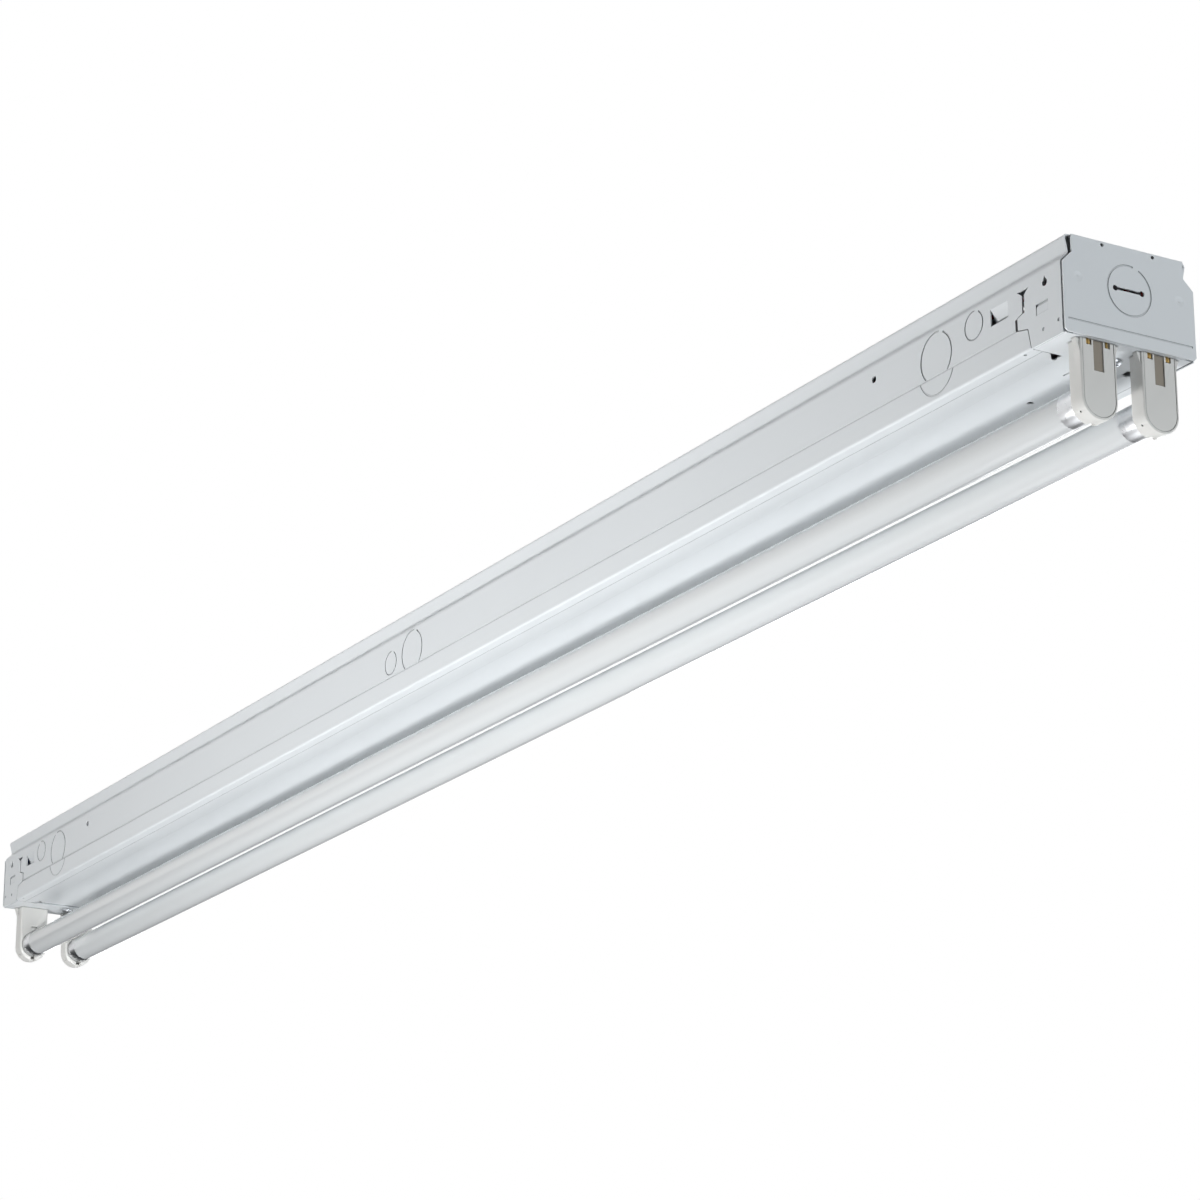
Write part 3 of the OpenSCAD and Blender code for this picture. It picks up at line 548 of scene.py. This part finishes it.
def panScrew(look):
    head, rise, rim = look["head"], look["rise"], look["rim"]
    profile = [(max(look["tip"], head * math.sin(t)), -rim - (rise - rim) * math.cos(t))
               for t in quarterTurns(look["domeSteps"])]
    profile += [(head, 0.0), (look["shank"], 0.0), (look["shank"], look["length"]),
                (look["tip"], look["length"])]
    screw = ringsOf("panScrew", [[(r * math.cos(t), r * math.sin(t), z) for t in fullTurns(look["steps"])]
                                 for r, z in profile], False)
    half, reach = look["slotHalf"], look["slotReach"]
    return carve(screw, [blockOf("slot", (-x, -y, -rise - past), (x, y, look["slotDepth"] - rise))
                         for x, y in ((half, reach), (reach, half))])


def screwTree():
    tree = bpy.data.node_groups.new("screwSet", "GeometryNodeTree")
    for name, kind in (("Points", "Geometry"), ("Screw", "Object"), ("Turn", "Float"), ("Seed", "Int"),
                       ("Finish", "Material")):
        tree.interface.new_socket(name=name, in_out="INPUT", socket_type="NodeSocket" + kind)
    tree.interface.new_socket(name="Geometry", in_out="OUTPUT", socket_type="NodeSocketGeometry")
    source = tree.nodes.new("NodeGroupInput")
    screw = tree.nodes.new("GeometryNodeObjectInfo")
    chance = tree.nodes.new("FunctionNodeRandomValue")
    chance.data_type = "FLOAT"
    turned = tree.nodes.new("ShaderNodeCombineXYZ")
    spread = tree.nodes.new("GeometryNodeInstanceOnPoints")
    real = tree.nodes.new("GeometryNodeRealizeInstances")
    coat = tree.nodes.new("GeometryNodeSetMaterial")
    result = tree.nodes.new("NodeGroupOutput")

    def inlet(node, identifier):
        return next(s for s in node.inputs if s.identifier == identifier)

    join = tree.links.new
    join(source.outputs["Screw"], screw.inputs["Object"])
    join(source.outputs["Turn"], inlet(chance, "Max_001"))
    join(source.outputs["Seed"], inlet(chance, "Seed"))
    join(next(s for s in chance.outputs if s.identifier == "Value_001"), turned.inputs["Z"])
    join(source.outputs["Points"], spread.inputs["Points"])
    join(screw.outputs["Geometry"], spread.inputs["Instance"])
    join(turned.outputs["Vector"], spread.inputs["Rotation"])
    join(spread.outputs["Instances"], real.inputs["Geometry"])
    join(real.outputs["Geometry"], coat.inputs["Geometry"])
    join(source.outputs["Finish"], coat.inputs["Material"])
    join(coat.outputs["Geometry"], result.inputs["Geometry"])
    return tree


def screwsOnPoints(look, slot):
    points = [(x * millimetre, y * millimetre, look["level"] * millimetre) for x, y in look["places"]]
    mesh = bpy.data.meshes.new("screwPoints")
    mesh.from_pydata(points, [], [])
    holder = bpy.data.objects.new("screwPoints", mesh)
    bpy.context.scene.collection.objects.link(holder)
    screw = panScrew(look)
    tree = screwTree()
    step = holder.modifiers.new("screws", "NODES")
    step.node_group = tree
    values = {"Screw": screw, "Turn": look["turn"], "Seed": look["seed"], "Finish": finishes[slot]}
    for item in tree.interface.items_tree:
        if item.in_out == "INPUT" and item.name in values:
            step[item.identifier] = values[item.name]
    settle(holder)
    bpy.data.objects.remove(screw)
    return holder


dressed(screwsOnPoints(screwLook, "zinc_steel"), "coverScrews", "zinc_steel", ["cover_screws"])
print("screws set")


# Camera, at the photograph's place
cameraView = {"place": (1.76061, -0.95404, -0.65420), "look": (-0.81759, 0.48218, 0.31472),
              "up": (0.27221, -0.15798, 0.94918), "lens": 114.4, "sensor": 36.0, "reach": 50.0}


def addCamera(view):
    data = bpy.data.cameras.new("camera")
    data.lens = view["lens"]
    data.sensor_width = view["sensor"]
    data.clip_end = view["reach"]
    camera = bpy.data.objects.new("camera", data)
    back = -Vector(view["look"]).normalized()
    right = Vector(view["up"]).cross(back).normalized()
    turned = Matrix((right, back.cross(right), back)).transposed()
    camera.matrix_world = Matrix.Translation(view["place"]) @ turned.to_4x4()
    bpy.context.scene.collection.objects.link(camera)
    bpy.context.scene.camera = camera


addCamera(cameraView)

# Lamps of the studio; all face the same point, on the light's underside
aimPoint = (0.0, 0.0, -0.05)
studio = {
    "key": {"place": (0.07, -0.85, -0.79), "size": 0.16, "power": 11.1, "tint": (1.0, 1.0, 1.0)},
    "fillBelow": {"place": (0.1, 0.1, -1.2), "size": 1.4, "power": 7.4, "tint": (0.97, 0.985, 1.0)},
    "fillEnd": {"place": (2.6, 0.4, -0.4), "size": 1.6, "power": 29.0, "tint": (0.93, 0.97, 1.0)},
    "fillFront": {"place": (0.05, -1.15, 0.85), "size": 1.0, "power": 3.9, "tint": (0.97, 0.99, 1.0)},
    "fillRear": {"place": (0.05, 1.2, -0.7), "size": 1.0, "power": 3.0, "tint": (0.95, 0.98, 1.0)},
    "fillBehind": {"place": (-1.5, 2.0, 0.5), "size": 1.6, "power": 22.0, "tint": (0.97, 0.985, 1.0)},
    "fillLeft": {"place": (-2.6, 0.3, 0.2), "size": 1.4, "power": 10.0, "tint": (0.97, 0.985, 1.0)},
    "fillAbove": {"place": (0.0, 0.4, 2.4), "size": 1.6, "power": 20.0, "tint": (1.0, 1.0, 1.0)},
}


def addStudioLamp(name, lamp):
    data = bpy.data.lights.new(name, "AREA")
    data.shape = "DISK"
    data.size = lamp["size"]
    data.energy = lamp["power"]
    data.color = lamp["tint"]
    light = bpy.data.objects.new(name, data)
    aim = Vector(aimPoint) - Vector(lamp["place"])
    light.rotation_euler = aim.to_track_quat("-Z", "Y").to_euler()
    light.location = lamp["place"]
    bpy.context.scene.collection.objects.link(light)


for name, lamp in studio.items():
    addStudioLamp(name, lamp)

worldLook = {"ambient": 0.04, "white": 1.0}


def addWorld(look):
    board = Board("studioWorld", bpy.data.worlds)
    strength = board.node("ShaderNodeMapRange", None, {
        "Value": board.seen(), "To Min": look["ambient"], "To Max": look["white"]})
    background = board.node("ShaderNodeBackground", None, {
        "Color": shade(1.0, 1.0, 1.0), "Strength": strength})
    board.node("ShaderNodeOutputWorld", None, {"Surface": background})
    bpy.context.scene.world = board.owner


addWorld(worldLook)

# The share of the floor's tone that doesn't depend on the lamps is seen and mirrored only
floorLook = {"size": 60.0, "height": -3.6, "colour": shade(0.8, 0.8, 0.8),
             "roughness": 0.9, "seen": 0.68}


def stagePlane(name, corners, paint):
    mesh = bpy.data.meshes.new(name)
    mesh.from_pydata(corners, [], [(0, 1, 2, 3)])
    mesh.materials.append(paint)
    plane = bpy.data.objects.new(name, mesh)
    bpy.context.scene.collection.objects.link(plane)
    return plane


def addFloor(look):
    half = look["size"] / 2
    board = Board("floorPaint")
    paint = board.finish(Base_Color=look["colour"], Roughness=look["roughness"],
                         Emission_Color=shade(1.0, 1.0, 1.0),
                         Emission_Strength=look["seen"] * board.seen())
    stagePlane("floor", [(x * half, y * half, look["height"])
                         for x, y in ((-1, -1), (1, -1), (1, 1), (-1, 1))], paint)


addFloor(floorLook)

# Dark card far behind the left end, which only mirror reflections in the metal show
cardLook = {"x": -1.6, "y": (-1.1, 1.8), "z": (-1.9, -0.1),
            "colour": shade(0.02, 0.022, 0.026), "roughness": 0.9}


def addCard(look):
    (near, far), (low, high) = look["y"], look["z"]
    paint = Board("cardPaint").finish(Base_Color=look["colour"], Roughness=look["roughness"])
    card = stagePlane("darkCard", [(look["x"], y, z) for y, z in
                                   ((near, low), (far, low), (far, high), (near, high))], paint)
    card.visible_camera = False
    card.visible_diffuse = False
    card.visible_shadow = False


addCard(cardLook)
bpy.context.scene.view_settings.view_transform = "Standard"
print("studio built")
